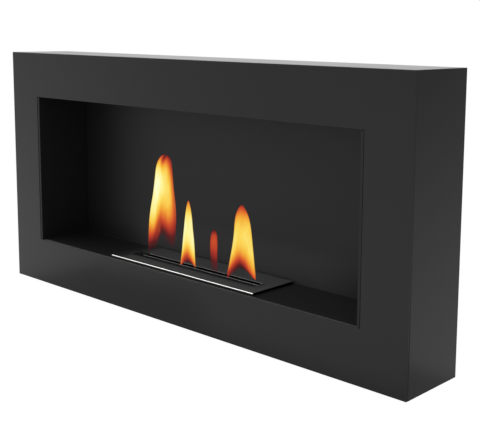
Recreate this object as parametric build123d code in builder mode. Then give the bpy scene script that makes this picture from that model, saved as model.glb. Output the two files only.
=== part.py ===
from build123d import *
import os

# Wall-hung bioethanol fireplace.  A folded sheet-steel housing hooks over a rail that is screwed to the wall.
# Its front frame opens on a firebox, and a lift-out burner stands in the firebox floor: a tank with an
# absorbent pad under a cover plate, whose long slot is closed by a sliding damper.
#
# Frame: millimetres, X to the right, +Y into the wall, Z up.  The origin lies on the wall, midway between
# the rail's two screw holes.  "_x", "_y" and "_z" name places in that frame, all other values are sizes.

# ---- Housing, outside -----------------------------------------------------------------------------------
width = 900.0
height = 427.0
depth = 120.0
rail_drop = 82.0  # screw line of the wall rail, below the housing's top

# ---- Front frame and its opening ------------------------------------------------------------------------
front_sheet = 2.0
edge_round = 0.5
frame_side = 77.0  # widths of the frame round its opening
frame_bottom = 80.5
frame_top = 80.0

# ---- Casing sheets --------------------------------------------------------------------------------------
casing_sheet = 1.5
bend_radius = 2.5  # outside radius of a fold
casing_flange = 15.0
fold_gap = 0.5  # between folded sheets that meet in a corner

# ---- Rear cover and what holds it -----------------------------------------------------------------------
wall_gap = 10.0  # between the rear cover and the wall
cover_sheet = 1.5
cover_play = 0.3
angle_leg = 15.0
angle_gap = 1.0  # between the ends of neighbouring angles
screw_radius = 2.0
screw_hole_play = 0.25
screw_head_radius = 4.0
screw_head_height = 2.6
screw_length = 8.0
screw_head_round = 1.2
screw_socket_radius = 1.4
screw_socket_depth = 1.5
screw_inset_x = 75.0  # outermost screws of a row, from the housing's sides
screws_per_row = 4
screw_pitch_z = 180.0
screws_per_side = 2

# ---- Wall rail and hangers ------------------------------------------------------------------------------
rail_sheet = 2.0
rail_length = 640.0
rail_foot = 16.0  # rail below the screw line
rail_shoulder = 14.0  # rail above the screw line, up to the step
rail_lip = 16.0  # lip above the step
hook_gap = 4.0  # between the wall and the lip
rail_hole_radius = 4.25
rail_end = 40.0  # from a screw hole to the rail's end
rail_slot_length = 24.0
rail_slot_spacing = 240.0
hanger_sheet = 2.0
hanger_length = 90.0
hanger_spacing = 400.0
hanger_leg = 32.0
hanger_play = 0.3  # above the lip while the housing hangs
tongue_play = 0.5  # between the lip and the tongue behind it
tongue_length = 12.0
tight_bend = 0.5
rivet_radius = 2.0
rivet_hole_play = 0.1
rivet_head_radius = 3.6
rivet_head_height = 1.2
rivet_round = 0.6
rivet_spacing = 50.0
rivet_height = 14.0  # above the hanger's lower edge

# ---- Rubber wall buffers --------------------------------------------------------------------------------
buffer_radius = 11.0
buffer_neck_radius = 4.0
buffer_barb_radius = 5.0
buffer_barb_length = 3.5
buffer_play = 0.2
buffer_round = 1.0
buffer_inset_x = 50.0
buffer_inset_z = 34.0

# ---- Firebox --------------------------------------------------------------------------------------------
firebox_sheet = 1.5
rear_insulation_thickness = 1.5
floor_step = 1.5  # floor above the opening's lower edge
ceiling_rise = 2.5  # ceiling above the opening's upper edge
seam_gap = 0.8  # dark joint between the frame and the side walls' hems
hem_width = 4.6  # two plies and the space between them
hem_length = 12.0
hem_setback = 0.4  # hem behind the front face
firebox_flange = 15.0
back_wall_play = 1.2
firebox_angle_leg = 14.0
support_inset = 123.0  # from the side of the opening to a support
support_flange = 30.0
support_end_gap = 8.0
insulation_thickness = 12.0
insulation_margin = 6.0
rear_insulation_inset = 20.0

# ---- Burner ---------------------------------------------------------------------------------------------
burner_setback = 7.3  # bright trim behind the front face
burner_width = 337.0
burner_rear_gap = 4.5  # between the cover plate and the back wall
rest_gap = 0.3  # under the burner while it stands on the floor
plate_sheet = 1.2
plate_skirt = 1.2
trim_thickness = 2.4
trim_height = 2.5  # the strip covers only the top of the plate's edge
trim_round = 2.0
tank_end_margin = 18.0  # tank inside the cover plate, at the ends and along the sides
tank_side_margin = 11.8
tank_depth = 50.0
tank_sheet = 1.0
tank_bend = 2.0  # outside radius of the trough's folds
tank_play = 2.0  # round the tank in the floor's cut-out
top_plate_sheet = 1.0
top_plate_margin = 5.0  # inside the cover plate
pad_play = 1.5
pad_height = 34.0
retainer_sheet = 1.0
retainer_hole_radius = 4.0
retainer_pitch = 14.0

# ---- Burner slot and damper -----------------------------------------------------------------------------
slot_offset = 4.9  # slot in front of the tank's middle
slot_knob_margin = 44.2  # from the slot to the cover plate's end beside the knob
slot_plain_margin = 24.2  # and to its other end
slot_width = 11.0
collar_wall = 1.5
collar_rise = 0.6  # collar above the cover plate
collar_round = 0.35
damper_sheet = 0.8
damper_play = 0.2  # over and under the damper
damper_width = 16.0
damper_open_gap = 1.0  # between the slot and the open damper
damper_travel = 13.0
damper_knob_overhang = 23.2  # damper past the slot's end beside the knob
damper_plain_overhang = 6.0  # and past its other end
ear_width = 9.0
ear_reach = 12.5
knob_shank_radius = 2.2
knob_shank_play = 0.05
knob_head_radius = 3.4
knob_head_height = 1.8
knob_round = 0.8
knob_lift = 0.6  # knob's head above the cover plate
groove_play = 0.5
knob_edge = 5.0  # knob behind the ear's front edge
guide_width = 8.0
guide_play = 0.3
guide_length = 52.0
guide_margin = 4.0  # guides behind the open damper

# ---- Places worked out from the sizes -------------------------------------------------------------------
front_y = -depth
frame_back_y = front_y + front_sheet
cover_back_y = -wall_gap
cover_front_y = cover_back_y - cover_sheet
top_z = rail_drop
bottom_z = top_z - height
skin_x = width / 2 - casing_sheet  # inside face of the side panels
skin_bottom_z = bottom_z + casing_sheet
skin_top_z = top_z - casing_sheet
middle_z = (bottom_z + top_z) / 2
tab_x = width / 2 - casing_flange - fold_gap  # flanges of the top and bottom panels end here
tab_front_y = frame_back_y + bend_radius + fold_gap
tab_rear_y = cover_front_y - angle_leg - fold_gap

opening_x = width / 2 - frame_side
opening_bottom_z = bottom_z + frame_bottom
floor_z = opening_bottom_z + floor_step  # top of the firebox floor
opening_top_z = top_z - frame_top
ceiling_z = opening_top_z + ceiling_rise  # underside of the ceiling
firebox_rear_y = cover_front_y - rear_insulation_thickness
back_flange_y = firebox_rear_y - firebox_sheet
back_wall_y = back_flange_y - firebox_sheet
hem_outer_x = opening_x - seam_gap
side_wall_x = hem_outer_x - hem_width  # inside face of a firebox side wall
side_outer_x = side_wall_x + firebox_sheet
hem_inner_x = hem_outer_x - firebox_sheet
hem_front_y = front_y + hem_setback

rail_step_z = rail_shoulder
lip_top_z = rail_step_z + rail_lip
hanger_z = lip_top_z + hanger_play
tongue_y = -hook_gap + tongue_play
rivet_z = hanger_z + rivet_height
hanger_face_y = cover_back_y + hanger_sheet
buffer_x = width / 2 - buffer_inset_x
buffer_z = bottom_z + buffer_inset_z
rail_hole_spacing = rail_length - 2 * rail_end
screw_row_x = width / 2 - screw_inset_x
screw_pitch_x = 2 * screw_row_x / (screws_per_row - 1)
screw_side_x = skin_x - angle_leg / 2
screw_top_z = skin_top_z - angle_leg / 2
screw_bottom_z = skin_bottom_z + angle_leg / 2

burner_base_z = floor_z + rest_gap
top_plate_z = burner_base_z + top_plate_sheet
damper_z = top_plate_z + damper_play
damper_top_z = damper_z + damper_sheet
plate_under_z = damper_top_z + damper_play
plate_top_z = plate_under_z + plate_sheet
trim_front_y = front_y + burner_setback
plate_front_y = trim_front_y + trim_thickness
plate_rear_y = back_wall_y - burner_rear_gap
tank_y = (plate_front_y + plate_rear_y) / 2
plate_x = burner_width / 2
tank_length = burner_width - 2 * tank_end_margin
tank_width = plate_rear_y - plate_front_y - 2 * tank_side_margin
tank_bottom_z = burner_base_z - tank_depth
slot_y = tank_y - slot_offset
slot_length = burner_width - slot_knob_margin - slot_plain_margin
slot_x = (slot_knob_margin - slot_plain_margin) / 2
pad_top_z = tank_bottom_z + tank_sheet + pad_height
damper_front_y = slot_y + slot_width / 2 + damper_open_gap
damper_left_x = slot_x - slot_length / 2 - damper_knob_overhang
damper_right_x = slot_x + slot_length / 2 + damper_plain_overhang
ear_front_y = damper_front_y - ear_reach
knob_x = damper_left_x + ear_width / 2
knob_y = ear_front_y + knob_edge
groove_radius = knob_shank_radius + groove_play

# Screws that hold the rear cover, in the XZ plane
cover_screw_points = [
    (column * screw_pitch_x - screw_row_x, z)
    for column in range(screws_per_row)
    for z in (screw_bottom_z, screw_top_z)
]
cover_screw_points += [
    (sign * screw_side_x, middle_z + (row - (screws_per_side - 1) / 2) * screw_pitch_z)
    for row in range(screws_per_side)
    for sign in (-1, 1)
]
hanger_rivet_points = [
    (hanger * hanger_spacing / 2 + rivet * rivet_spacing / 2, rivet_z)
    for hanger in (-1, 1)
    for rivet in (-1, 1)
]
buffer_points = [(sign * buffer_x, buffer_z) for sign in (-1, 1)]


def area(x_start, y_start, x_end, y_end, mode=Mode.ADD):
    """Rectangle of the current sketch between two opposite corners."""
    with Locations(((x_start + x_end) / 2, (y_start + y_end) / 2)):
        Rectangle(abs(x_end - x_start), abs(y_end - y_start), mode=mode)


def facing_wall(y):
    """Vertical plane at depth y, seen from the room: local x is X, local y is Z, the normal is -Y."""
    return Plane.XZ.offset(-y)


os.makedirs("parts", exist_ok=True)

# ==== Wall rail ==========================================================================================

# Strip with a stepped lip: the housing's hangers drop into the gap between the lip and the wall.
with BuildPart() as wall_rail:
    with BuildSketch(Plane.YZ.offset(-rail_length / 2)):
        with BuildLine():
            FilletPolyline(
                (0, -rail_foot),
                (0, rail_step_z),
                (-hook_gap, rail_step_z),
                (-hook_gap, lip_top_z),
                radius=[bend_radius, tight_bend],
            )
            offset(amount=rail_sheet, side=Side.LEFT)
        make_face()
    extrude(amount=rail_length)
    with BuildSketch(facing_wall(0)):
        with GridLocations(rail_hole_spacing, 1, 2, 1):
            Circle(rail_hole_radius)
        with GridLocations(rail_slot_spacing, 1, 2, 1):
            SlotOverall(rail_slot_length, 2 * rail_hole_radius)
    extrude(amount=rail_sheet, mode=Mode.SUBTRACT)
wall_rail.part.label = "wall_rail"
export_step(wall_rail.part, "parts/wall_rail.step")

# ==== Housing: outer casing ==============================================================================

# Flat frame with the opening; its visible front edges are lightly rounded.
with BuildPart() as front_frame:
    with BuildSketch(facing_wall(frame_back_y)):
        area(-width / 2, bottom_z, width / 2, top_z)
        area(-opening_x, opening_bottom_z, opening_x, opening_top_z, Mode.SUBTRACT)
    extrude(amount=front_sheet)
    fillet(front_frame.faces().sort_by(Axis.Y)[0].edges(), edge_round)
front_frame.part.label = "front_frame"
export_step(front_frame.part, "parts/front_frame.step")

# Side panels: a skin with a flange behind the front frame.  The fold leaves the seam seen at the corner.
# The flange stops short of the top and bottom panels.
for side_name, sign, fold_side in (("left", -1, Side.RIGHT), ("right", 1, Side.LEFT)):
    flange_x = sign * (width / 2 - casing_flange)
    with BuildPart() as side_panel:
        with BuildSketch(Plane.XY.offset(bottom_z)):
            with BuildLine():
                FilletPolyline(
                    (flange_x, frame_back_y),
                    (sign * width / 2, frame_back_y),
                    (sign * width / 2, 0),
                    radius=bend_radius,
                )
                offset(amount=casing_sheet, side=fold_side)
            make_face()
        extrude(amount=height)
        with BuildSketch(facing_wall(frame_back_y)):
            for end_z, inward in ((bottom_z, 1), (top_z, -1)):
                area(sign * skin_x, end_z, flange_x, end_z + inward * (bend_radius + fold_gap))
        extrude(amount=-bend_radius, mode=Mode.SUBTRACT)
    side_panel.part.label = f"side_panel_{side_name}"
    export_step(side_panel.part, f"parts/side_panel_{side_name}.step")

# Top and bottom panels: a skin between the side panels, a front flange, and a tab against each side panel.
for level_name, face_z, inward, fold_side in (
    ("top", top_z, -1, Side.RIGHT),
    ("bottom", bottom_z, 1, Side.LEFT),
):
    flange_end_z = face_z + inward * casing_flange
    with BuildPart() as level_panel:
        with BuildSketch(Plane.YZ.offset(-skin_x)):
            with BuildLine():
                FilletPolyline(
                    (frame_back_y, flange_end_z),
                    (frame_back_y, face_z),
                    (0, face_z),
                    radius=bend_radius,
                )
                offset(amount=casing_sheet, side=fold_side)
            make_face()
        extrude(amount=2 * skin_x)
        with BuildSketch(facing_wall(frame_back_y)):
            for sign in (-1, 1):
                area(sign * skin_x, face_z + inward * bend_radius, sign * tab_x, flange_end_z)
        extrude(amount=-casing_sheet, mode=Mode.SUBTRACT)
        with BuildSketch(facing_wall(tab_rear_y)):
            for sign in (-1, 1):
                tab_face_x = sign * (skin_x - casing_sheet)
                area(sign * skin_x, face_z + inward * casing_sheet, tab_face_x, flange_end_z)
        extrude(amount=tab_rear_y - tab_front_y)
    level_panel.part.label = f"{level_name}_panel"
    export_step(level_panel.part, f"parts/{level_name}_panel.step")

# ==== Housing: rear cover, its angles and its screws =====================================================

# Flat sheet set in from the wall, with holes for its screws, the hangers' rivets and the wall buffers.
with BuildPart() as rear_cover:
    with BuildSketch(facing_wall(cover_back_y)):
        area(
            cover_play - skin_x,
            skin_bottom_z + cover_play,
            skin_x - cover_play,
            skin_top_z - cover_play,
        )
        with Locations(cover_screw_points):
            Circle(screw_radius + screw_hole_play, mode=Mode.SUBTRACT)
        with Locations(hanger_rivet_points):
            Circle(rivet_radius + rivet_hole_play, mode=Mode.SUBTRACT)
        with Locations(buffer_points):
            Circle(buffer_neck_radius + buffer_play, mode=Mode.SUBTRACT)
    extrude(amount=cover_sheet)
rear_cover.part.label = "rear_cover"
export_step(rear_cover.part, "parts/rear_cover.step")

# Angles inside the casing carry the cover: two upright ones stand between the upper and the lower one.
upright_z = skin_bottom_z + angle_leg + angle_gap
upright_length = skin_top_z - angle_leg - angle_gap - upright_z
for side_name, sign, fold_side in (("left", -1, Side.RIGHT), ("right", 1, Side.LEFT)):
    with BuildPart() as cover_angle:
        with BuildSketch(Plane.XY.offset(upright_z)):
            with BuildLine():
                FilletPolyline(
                    (sign * skin_x, cover_front_y - angle_leg),
                    (sign * skin_x, cover_front_y),
                    (sign * (skin_x - angle_leg), cover_front_y),
                    radius=bend_radius,
                )
                offset(amount=casing_sheet, side=fold_side)
            make_face()
        extrude(amount=upright_length)
        with BuildSketch(facing_wall(cover_front_y)):
            with Locations(cover_screw_points):
                Circle(screw_radius + screw_hole_play)
        extrude(amount=casing_sheet, mode=Mode.SUBTRACT)
    cover_angle.part.label = f"cover_angle_{side_name}"
    export_step(cover_angle.part, f"parts/cover_angle_{side_name}.step")

for level_name, face_z, inward, fold_side in (
    ("top", skin_top_z, -1, Side.RIGHT),
    ("bottom", skin_bottom_z, 1, Side.LEFT),
):
    with BuildPart() as cover_angle:
        with BuildSketch(Plane.YZ.offset(-skin_x)):
            with BuildLine():
                FilletPolyline(
                    (cover_front_y - angle_leg, face_z),
                    (cover_front_y, face_z),
                    (cover_front_y, face_z + inward * angle_leg),
                    radius=bend_radius,
                )
                offset(amount=casing_sheet, side=fold_side)
            make_face()
        extrude(amount=2 * skin_x)
        with BuildSketch(facing_wall(cover_front_y)):
            with Locations(cover_screw_points):
                Circle(screw_radius + screw_hole_play)
        extrude(amount=casing_sheet, mode=Mode.SUBTRACT)
    cover_angle.part.label = f"cover_angle_{level_name}"
    export_step(cover_angle.part, f"parts/cover_angle_{level_name}.step")

# Button-head screws with a hexagon socket.
with BuildPart() as cover_screws:
    with BuildSketch(facing_wall(cover_back_y)):
        with Locations(cover_screw_points):
            Circle(screw_head_radius)
    extrude(amount=-screw_head_height)
    fillet(cover_screws.edges().group_by(Axis.Y)[-1], screw_head_round)
    with BuildSketch(facing_wall(cover_back_y)):
        with Locations(cover_screw_points):
            Circle(screw_radius)
    extrude(amount=screw_length)
    with BuildSketch(facing_wall(cover_back_y + screw_head_height)):
        with Locations(cover_screw_points):
            RegularPolygon(screw_socket_radius, 6)
    extrude(amount=screw_socket_depth, mode=Mode.SUBTRACT)
cover_screws.part.label = "cover_screws"
export_step(cover_screws.part, "parts/cover_screws.step")

# ==== Housing: hangers, rivets and wall buffers ==========================================================

# Each hanger is a hook of folded sheet: its web rests on the rail's lip, its tongue drops in behind it.
for side_name, sign in (("left", -1), ("right", 1)):
    with BuildPart() as hanger:
        with BuildSketch(Plane.YZ.offset(sign * hanger_spacing / 2 - hanger_length / 2)):
            with BuildLine():
                FilletPolyline(
                    (cover_back_y, hanger_z + hanger_leg),
                    (cover_back_y, hanger_z),
                    (tongue_y, hanger_z),
                    (tongue_y, hanger_z - tongue_length),
                    radius=[bend_radius, tight_bend],
                )
                offset(amount=hanger_sheet, side=Side.LEFT)
            make_face()
        extrude(amount=hanger_length)
        with BuildSketch(facing_wall(cover_back_y)):
            with Locations(hanger_rivet_points):
                Circle(rivet_radius + rivet_hole_play)
        extrude(amount=-hanger_sheet, mode=Mode.SUBTRACT)
    hanger.part.label = f"hanger_{side_name}"
    export_step(hanger.part, f"parts/hanger_{side_name}.step")

# Rivets through hanger and cover, with a set head on either side.
with BuildPart() as hanger_rivets:
    for head_y, head_height in ((hanger_face_y, -rivet_head_height), (cover_front_y, rivet_head_height)):
        with BuildSketch(facing_wall(head_y)):
            with Locations(hanger_rivet_points):
                Circle(rivet_head_radius)
        extrude(amount=head_height)
    with BuildSketch(facing_wall(hanger_face_y)):
        with Locations(hanger_rivet_points):
            Circle(rivet_radius)
    extrude(amount=hanger_face_y - cover_front_y)
    fillet(hanger_rivets.edges().group_by(Axis.Y)[-1], rivet_round)
hanger_rivets.part.label = "hanger_rivets"
export_step(hanger_rivets.part, "parts/hanger_rivets.step")

# Push-in rubber buffers keep the lower edge off the wall by the same gap as the rail.
with BuildPart() as wall_buffers:
    with BuildSketch(facing_wall(0)):
        with Locations(buffer_points):
            Circle(buffer_radius)
    extrude(amount=wall_gap)
    fillet(wall_buffers.edges().group_by(Axis.Y)[-1], buffer_round)
    with BuildSketch(facing_wall(cover_back_y)):
        with Locations(buffer_points):
            Circle(buffer_neck_radius)
    extrude(amount=cover_sheet + buffer_play)
    with BuildSketch(facing_wall(cover_front_y - buffer_play)):
        with Locations(buffer_points):
            Circle(buffer_barb_radius)
    extrude(amount=buffer_barb_length)
    chamfer(wall_buffers.edges().group_by(Axis.Y)[0], buffer_barb_radius - buffer_neck_radius)
wall_buffers.part.label = "wall_buffers"
export_step(wall_buffers.part, "parts/wall_buffers.step")

# ==== Housing: firebox ===================================================================================

# Floor: a flange behind the front frame, and a cut-out that the tank hangs in.
with BuildPart() as firebox_floor:
    with BuildSketch(Plane.YZ.offset(-hem_outer_x)):
        with BuildLine():
            FilletPolyline(
                (frame_back_y, floor_z - firebox_flange),
                (frame_back_y, floor_z),
                (firebox_rear_y, floor_z),
                radius=bend_radius,
            )
            offset(amount=firebox_sheet, side=Side.RIGHT)
        make_face()
    extrude(amount=2 * hem_outer_x)
    with BuildSketch(Plane.XY.offset(floor_z)):
        with Locations((0, tank_y)):
            Rectangle(tank_length + 2 * tank_play, tank_width + 2 * tank_play)
    extrude(amount=-firebox_sheet, mode=Mode.SUBTRACT)
firebox_floor.part.label = "firebox_floor"
export_step(firebox_floor.part, "parts/firebox_floor.step")

# Ceiling: the same sheet with its flange turned up.
with BuildPart() as firebox_ceiling:
    with BuildSketch(Plane.YZ.offset(-hem_outer_x)):
        with BuildLine():
            FilletPolyline(
                (frame_back_y, ceiling_z + firebox_flange),
                (frame_back_y, ceiling_z),
                (firebox_rear_y, ceiling_z),
                radius=bend_radius,
            )
            offset(amount=firebox_sheet, side=Side.LEFT)
        make_face()
    extrude(amount=2 * hem_outer_x)
firebox_ceiling.part.label = "firebox_ceiling"
export_step(firebox_ceiling.part, "parts/firebox_ceiling.step")

with BuildPart() as firebox_back_wall:
    with BuildSketch(facing_wall(back_flange_y)):
        area(back_wall_play - side_wall_x, floor_z, side_wall_x - back_wall_play, ceiling_z)
    extrude(amount=firebox_sheet)
firebox_back_wall.part.label = "firebox_back_wall"
export_step(firebox_back_wall.part, "parts/firebox_back_wall.step")

# Side walls: the front edge is folded back into an open hem, which reaches into the frame's opening.
# The rear flange lies behind the back wall.
for side_name, sign, fold_side in (("left", -1, Side.RIGHT), ("right", 1, Side.LEFT)):
    with BuildPart() as firebox_side:
        with BuildSketch(Plane.XY.offset(floor_z)):
            with BuildLine():
                FilletPolyline(
                    (sign * side_outer_x, frame_back_y),
                    (sign * side_outer_x, firebox_rear_y),
                    (sign * (side_outer_x - firebox_flange), firebox_rear_y),
                    radius=bend_radius,
                )
                offset(amount=firebox_sheet, side=fold_side)
            make_face()
            area(sign * hem_inner_x, frame_back_y, sign * hem_outer_x, hem_front_y + hem_length)
        extrude(amount=ceiling_z - floor_z)
        with BuildSketch(Plane.XY.offset(opening_bottom_z + seam_gap)):
            area(sign * side_wall_x, hem_front_y, sign * hem_outer_x, frame_back_y)
            area(
                sign * side_outer_x,
                hem_front_y + firebox_sheet,
                sign * hem_inner_x,
                frame_back_y,
                Mode.SUBTRACT,
            )
        extrude(amount=opening_top_z - opening_bottom_z - 2 * seam_gap)
        fillet(firebox_side.edges().filter_by(Axis.Z).group_by(Axis.Y)[0], edge_round)
    firebox_side.part.label = f"firebox_side_{side_name}"
    export_step(firebox_side.part, f"parts/firebox_side_{side_name}.step")

# Angles tie the hems to the back of the front frame.
for side_name, sign, fold_side in (("left", -1, Side.RIGHT), ("right", 1, Side.LEFT)):
    with BuildPart() as firebox_angle:
        with BuildSketch(Plane.XY.offset(floor_z)):
            with BuildLine():
                FilletPolyline(
                    (sign * hem_outer_x, frame_back_y + firebox_angle_leg),
                    (sign * hem_outer_x, frame_back_y),
                    (sign * (hem_outer_x + firebox_angle_leg), frame_back_y),
                    radius=bend_radius,
                )
                offset(amount=firebox_sheet, side=fold_side)
            make_face()
        extrude(amount=ceiling_z - floor_z)
    firebox_angle.part.label = f"firebox_angle_{side_name}"
    export_step(firebox_angle.part, f"parts/firebox_angle_{side_name}.step")

# Channels that stand on the bottom panel and carry the firebox floor.
support_rear_y = cover_front_y - angle_leg - angle_gap
support_front_y = frame_back_y + support_end_gap
for side_name, sign, fold_side in (("left", -1, Side.LEFT), ("right", 1, Side.RIGHT)):
    web_x = sign * (opening_x - support_inset)
    flange_x = web_x + sign * support_flange
    floor_under_z = floor_z - firebox_sheet
    with BuildPart() as floor_support:
        with BuildSketch(facing_wall(support_rear_y)):
            with BuildLine():
                FilletPolyline(
                    (flange_x, skin_bottom_z),
                    (web_x, skin_bottom_z),
                    (web_x, floor_under_z),
                    (flange_x, floor_under_z),
                    radius=bend_radius,
                )
                offset(amount=casing_sheet, side=fold_side)
            make_face()
        extrude(amount=support_rear_y - support_front_y)
    floor_support.part.label = f"floor_support_{side_name}"
    export_step(floor_support.part, f"parts/floor_support_{side_name}.step")

# Ceramic-fibre board on the ceiling, and a thin mat on the rear cover behind the firebox.
with BuildPart() as ceiling_insulation:
    with BuildSketch(Plane.XY.offset(ceiling_z + firebox_sheet)):
        area(
            insulation_margin - hem_outer_x,
            frame_back_y + firebox_sheet + insulation_margin,
            hem_outer_x - insulation_margin,
            firebox_rear_y - insulation_margin,
        )
    extrude(amount=insulation_thickness)
ceiling_insulation.part.label = "ceiling_insulation"
export_step(ceiling_insulation.part, "parts/ceiling_insulation.step")

with BuildPart() as rear_insulation:
    with BuildSketch(facing_wall(cover_front_y)):
        area(rear_insulation_inset - side_wall_x, floor_z, side_wall_x - rear_insulation_inset, ceiling_z)
    extrude(amount=rear_insulation_thickness)
rear_insulation.part.label = "rear_insulation"
export_step(rear_insulation.part, "parts/rear_insulation.step")

# ==== Burner =============================================================================================

# Open tank that hangs through the floor's cut-out from the top plate welded to its rim: a folded trough,
# closed by a flat plate welded across either end.
tank_front_y = tank_y - tank_width / 2
tank_rear_y = tank_y + tank_width / 2
trough_length = tank_length - 2 * tank_sheet
with BuildPart() as burner_tank:
    with BuildSketch(Plane.YZ.offset(-trough_length / 2)):
        with BuildLine():
            FilletPolyline(
                (tank_front_y, burner_base_z),
                (tank_front_y, tank_bottom_z),
                (tank_rear_y, tank_bottom_z),
                (tank_rear_y, burner_base_z),
                radius=tank_bend,
            )
            offset(amount=tank_sheet, side=Side.LEFT)
        make_face()
    extrude(amount=trough_length)
burner_tank.part.label = "burner_tank"
export_step(burner_tank.part, "parts/burner_tank.step")

for side_name, end_x in (("left", -tank_length / 2), ("right", trough_length / 2)):
    with BuildPart() as tank_end:
        with BuildSketch(Plane.XY.offset(tank_bottom_z)):
            area(end_x, tank_front_y, end_x + tank_sheet, tank_rear_y)
        extrude(amount=tank_depth)
        fillet(tank_end.edges().filter_by(Axis.X).group_by(Axis.Z)[0], tank_bend)
    tank_end.part.label = f"tank_end_{side_name}"
    export_step(tank_end.part, f"parts/tank_end_{side_name}.step")

with BuildPart() as tank_top_plate:
    with BuildSketch(Plane.XY.offset(burner_base_z)):
        area(
            top_plate_margin - plate_x,
            plate_front_y + top_plate_margin,
            plate_x - top_plate_margin,
            plate_rear_y - top_plate_margin,
        )
        with Locations((slot_x, slot_y)):
            Rectangle(slot_length, slot_width, mode=Mode.SUBTRACT)
    extrude(amount=top_plate_sheet)
tank_top_plate.part.label = "tank_top_plate"
export_step(tank_top_plate.part, "parts/tank_top_plate.step")

# Ceramic wool that soaks up the fuel, and the perforated sheet that holds it down.
pad_length = tank_length - 2 * (tank_sheet + pad_play)
pad_width = tank_width - 2 * (tank_sheet + pad_play)
hole_columns = int(pad_length / retainer_pitch) - 1
hole_rows = int(pad_width / retainer_pitch) - 1
with BuildPart() as absorbent_pad:
    with BuildSketch(Plane.XY.offset(tank_bottom_z + tank_sheet)):
        with Locations((0, tank_y)):
            Rectangle(pad_length, pad_width)
    extrude(amount=pad_height)
absorbent_pad.part.label = "absorbent_pad"
export_step(absorbent_pad.part, "parts/absorbent_pad.step")

with BuildPart() as pad_retainer:
    with BuildSketch(Plane.XY.offset(pad_top_z)):
        with Locations((0, tank_y)):
            Rectangle(pad_length, pad_width)
            with GridLocations(retainer_pitch, retainer_pitch, hole_columns, hole_rows):
                Circle(retainer_hole_radius, mode=Mode.SUBTRACT)
    extrude(amount=retainer_sheet)
pad_retainer.part.label = "pad_retainer"
export_step(pad_retainer.part, "parts/pad_retainer.step")

# Cover plate: a shallow tray turned down at its edges, with the long slot and the damper knob's groove.
with BuildPart() as burner_cover_plate:
    with BuildSketch(Plane.XY.offset(burner_base_z)):
        area(-plate_x, plate_front_y, plate_x, plate_rear_y)
    extrude(amount=plate_top_z - burner_base_z)
    fillet(burner_cover_plate.faces().sort_by(Axis.Z)[-1].edges(), edge_round)
    with BuildSketch(Plane.XY.offset(burner_base_z)):
        area(
            plate_skirt - plate_x,
            plate_front_y + plate_skirt,
            plate_x - plate_skirt,
            plate_rear_y - plate_skirt,
        )
    extrude(amount=plate_under_z - burner_base_z, mode=Mode.SUBTRACT)
    with BuildSketch(Plane.XY.offset(plate_under_z)):
        with Locations((slot_x, slot_y)):
            Rectangle(slot_length + 2 * collar_wall, slot_width + 2 * collar_wall)
        with Locations((knob_x, knob_y - damper_travel / 2)):
            SlotCenterToCenter(damper_travel, 2 * groove_radius, rotation=90)
    extrude(amount=plate_sheet, mode=Mode.SUBTRACT)
burner_cover_plate.part.label = "burner_cover_plate"
export_step(burner_cover_plate.part, "parts/burner_cover_plate.step")

# Bare steel collar round the slot, proud of the painted plate.
with BuildPart() as slot_collar:
    with BuildSketch(Plane.XY.offset(plate_under_z)):
        with Locations((slot_x, slot_y)):
            Rectangle(slot_length + 2 * collar_wall, slot_width + 2 * collar_wall)
            Rectangle(slot_length, slot_width, mode=Mode.SUBTRACT)
    extrude(amount=plate_sheet + collar_rise)
    fillet(slot_collar.faces().sort_by(Axis.Z)[-1].edges(), collar_round)
slot_collar.part.label = "slot_collar"
export_step(slot_collar.part, "parts/slot_collar.step")

# Bright strip along the top of the plate's front edge, rounded off towards the room.
with BuildPart() as burner_front_trim:
    with BuildSketch(facing_wall(plate_front_y)):
        area(-plate_x, plate_top_z - trim_height, plate_x, plate_top_z)
    extrude(amount=trim_thickness)
    fillet(burner_front_trim.faces().sort_by(Axis.Y)[0].edges().sort_by(Axis.Z)[-1], trim_round)
burner_front_trim.part.label = "burner_front_trim"
export_step(burner_front_trim.part, "parts/burner_front_trim.step")

# Guides: strips between the top plate and the cover plate, at either end of the damper.
guide_rear_y = damper_front_y + damper_width + guide_margin
guide_starts = (
    ("left", damper_left_x - guide_play - guide_width),
    ("right", damper_right_x + guide_play),
)
for side_name, guide_x in guide_starts:
    with BuildPart() as damper_guide:
        with BuildSketch(Plane.XY.offset(top_plate_z)):
            area(guide_x, guide_rear_y - guide_length, guide_x + guide_width, guide_rear_y)
        extrude(amount=plate_under_z - top_plate_z)
    damper_guide.part.label = f"damper_guide_{side_name}"
    export_step(damper_guide.part, f"parts/damper_guide_{side_name}.step")

# ==== Damper =============================================================================================

# Shown open, behind the slot.  An ear past the slot's left end carries the knob.
with BuildPart() as damper_plate:
    with BuildSketch(Plane.XY.offset(damper_z)):
        area(damper_left_x, damper_front_y, damper_right_x, damper_front_y + damper_width)
        area(damper_left_x, ear_front_y, damper_left_x + ear_width, damper_front_y)
        with Locations((knob_x, knob_y)):
            Circle(knob_shank_radius + knob_shank_play, mode=Mode.SUBTRACT)
    extrude(amount=damper_sheet)
damper_plate.part.label = "damper_plate"
export_step(damper_plate.part, "parts/damper_plate.step")

with BuildPart() as damper_knob:
    with BuildSketch(Plane.XY.offset(damper_z)):
        with Locations((knob_x, knob_y)):
            Circle(knob_shank_radius)
    extrude(amount=plate_top_z + knob_lift - damper_z)
    with BuildSketch(Plane.XY.offset(plate_top_z + knob_lift)):
        with Locations((knob_x, knob_y)):
            Circle(knob_head_radius)
    extrude(amount=knob_head_height)
    fillet(damper_knob.edges().group_by(Axis.Z)[-1], knob_round)
damper_knob.part.label = "damper_knob"
export_step(damper_knob.part, "parts/damper_knob.step")
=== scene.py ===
"""Looks of the wall-hung bioethanol fireplace: coated sheets, steel fittings, slot burner and flames."""
import math

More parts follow.
